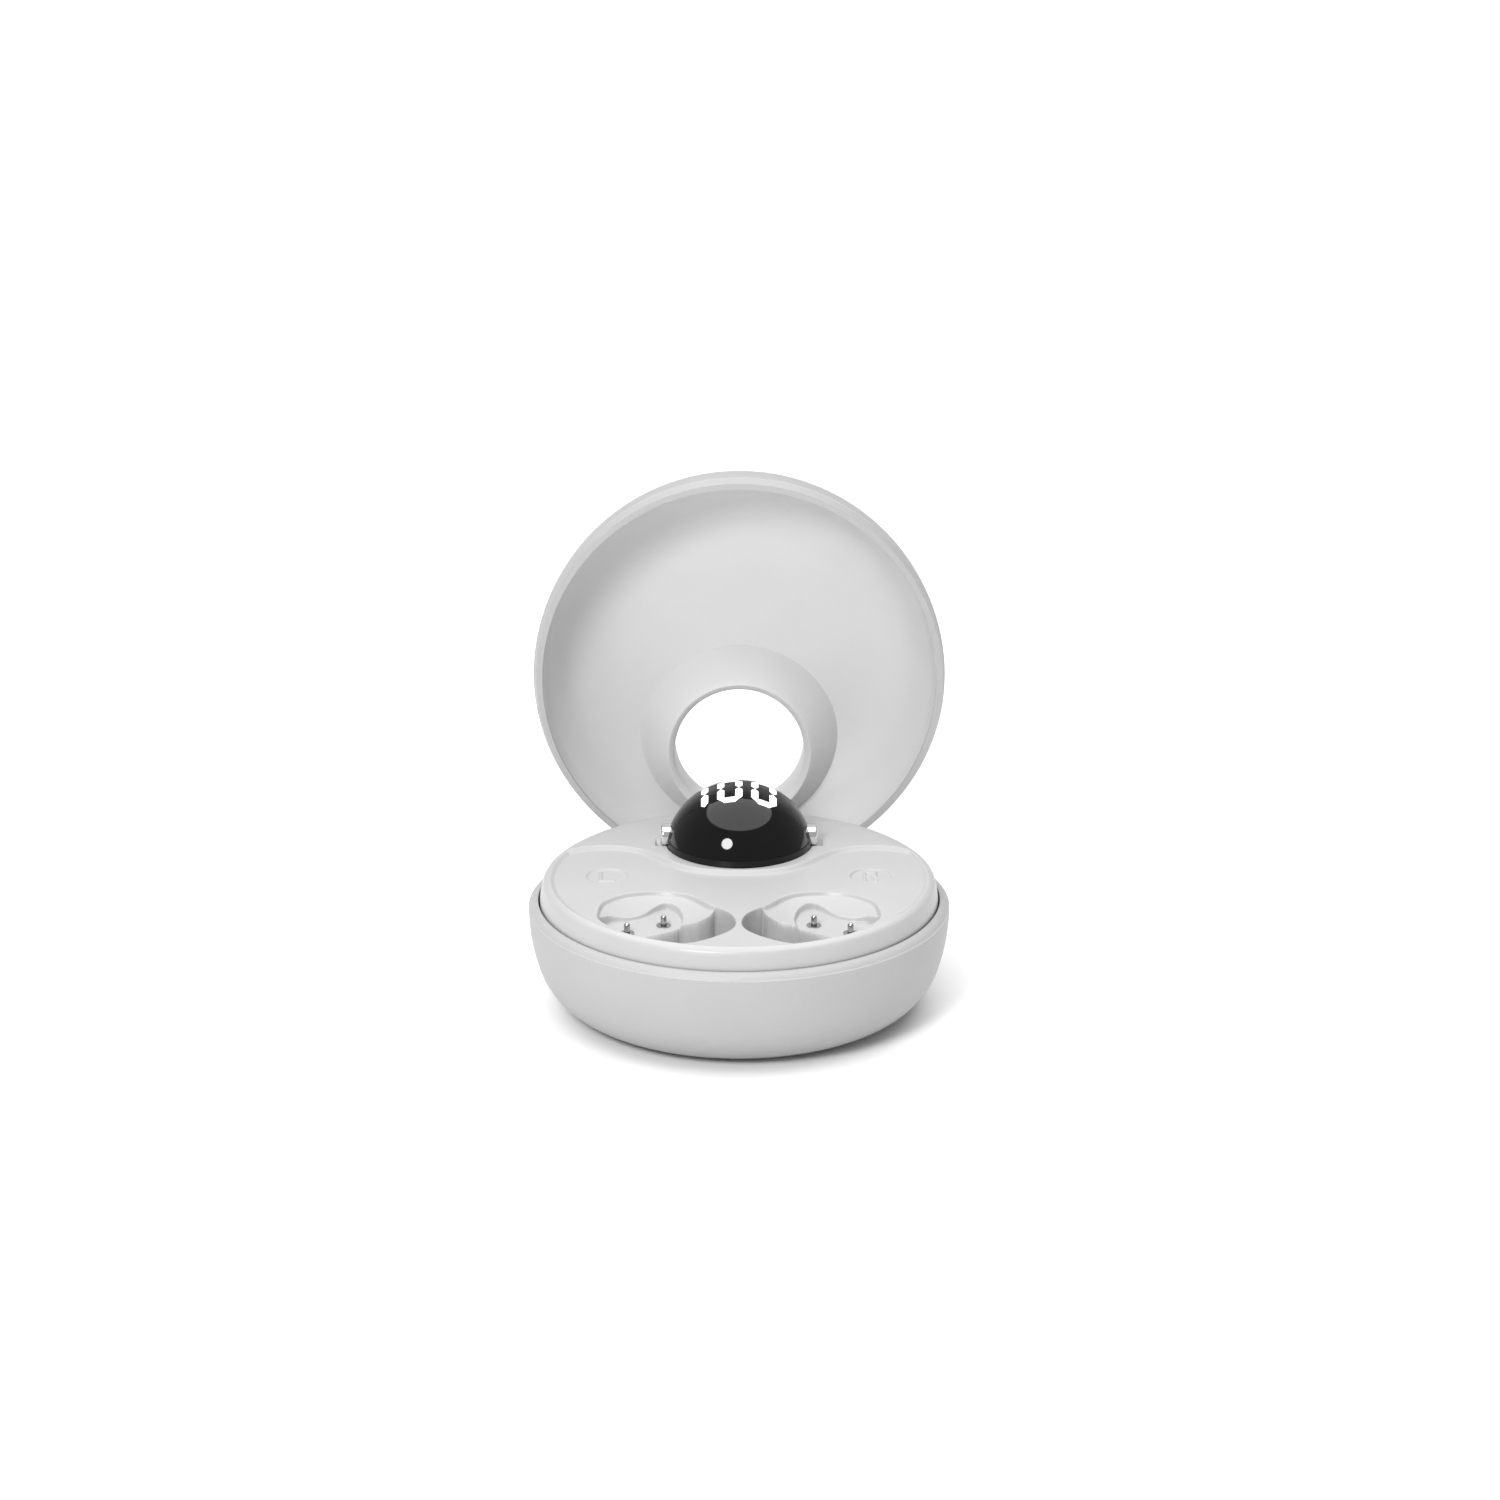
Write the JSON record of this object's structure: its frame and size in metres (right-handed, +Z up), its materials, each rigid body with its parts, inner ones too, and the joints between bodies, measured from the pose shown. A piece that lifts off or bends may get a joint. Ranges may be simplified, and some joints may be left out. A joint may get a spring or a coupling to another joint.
{
  "type": "wireless earbuds charging case",
  "caption": "Round charging case for wireless earbuds: bowl base, two contact cavities, domed charge display and a hinged lid with a dome hole.",
  "frame": {"origin": "centre of the base's flat resting face, on the base's own axis", "axes": "+Z up, +Y towards the hinge at the rear, +X to the right hand seen from the front"},
  "size_m": [0.064, 0.0776, 0.0737],
  "materials": {
    "shell_plastic": "fine matte",
    "tray_plastic": "satin",
    "black_gloss": "high gloss",
    "lit_white": "lit",
    "chrome": "polished",
    "contact_metal": "polished",
    "board_green": "solder mask",
    "white_plastic": "matte",
    "battery_foil": "foil",
    "foam": "foam",
    "chip_black": "matte",
    "screw_steel": "machined",
    "spring_steel": "wire",
    "flex_amber": "film",
    "hinge_plastic": "matte",
    "magnet_nickel": "nickel plate"
  },
  "bodies": {
    "case": {"base_shell": "shell_plastic", "battery": "battery_foil", "battery_pad": "foam", "board_chips": "chip_black", "board_screws": "screw_steel", "charging_port": "screw_steel", "charging_tray": "tray_plastic", "contact_barrels_left": "contact_metal", "contact_barrels_right": "contact_metal", "contact_board_left": "board_green", "contact_board_right": "board_green", "contact_spring_left_inner": "spring_steel", "contact_spring_left_outer": "spring_steel", "contact_spring_right_inner": "spring_steel", "contact_spring_right_outer": "spring_steel", "display_board": "board_green", "display_digits": "lit_white", "display_dome": "black_gloss", "display_flex": "flex_amber", "display_leds": "lit_white", "display_light_guide": "white_plastic", "dome_bezel": "black_gloss", "earbud_magnet_left": "magnet_nickel", "earbud_magnet_right": "magnet_nickel", "hinge_pin": "screw_steel", "hinge_spring": "spring_steel", "lid_sensor": "chip_black", "main_board": "board_green", "port_tongue": "chip_black", "side_stud_left": "chrome", "side_stud_right": "chrome", "tray_magnet": "magnet_nickel"},
    "lid": {"lid_shell": "shell_plastic", "lid_liner": "tray_plastic", "lid_magnet": "magnet_nickel", "lid_hinge_block": "hinge_plastic"},
    "plunger_left_inner": {"contact_plunger_left_inner": "contact_metal"},
    "plunger_left_outer": {"contact_plunger_left_outer": "contact_metal"},
    "plunger_right_inner": {"contact_plunger_right_inner": "contact_metal"},
    "plunger_right_outer": {"contact_plunger_right_outer": "contact_metal"}
  },
  "joints": [
    {"name": "lid_hinge", "type": "hinge", "parent": "case", "child": "lid", "pos_m": [0, 0.0267, 0.01514], "axis": [1, 0, 0], "range_deg": [0, 91.9], "deforming": ["hinge_spring"]},
    {"name": "contact_left_inner_press", "type": "slide", "parent": "case", "child": "plunger_left_inner", "axis": [0, 0, -1], "range_m": [0, 0.0008], "stiffness_N_per_m": 300, "springref_m": -0.0006, "deforming": ["contact_spring_left_inner"]},
    {"name": "contact_left_outer_press", "type": "slide", "parent": "case", "child": "plunger_left_outer", "axis": [0, 0, -1], "range_m": [0, 0.0008], "stiffness_N_per_m": 300, "springref_m": -0.0006, "deforming": ["contact_spring_left_outer"]},
    {"name": "contact_right_inner_press", "type": "slide", "parent": "case", "child": "plunger_right_inner", "axis": [0, 0, -1], "range_m": [0, 0.0008], "stiffness_N_per_m": 300, "springref_m": -0.0006, "deforming": ["contact_spring_right_inner"]},
    {"name": "contact_right_outer_press", "type": "slide", "parent": "case", "child": "plunger_right_outer", "axis": [0, 0, -1], "range_m": [0, 0.0008], "stiffness_N_per_m": 300, "springref_m": -0.0006, "deforming": ["contact_spring_right_outer"]}
  ]
}
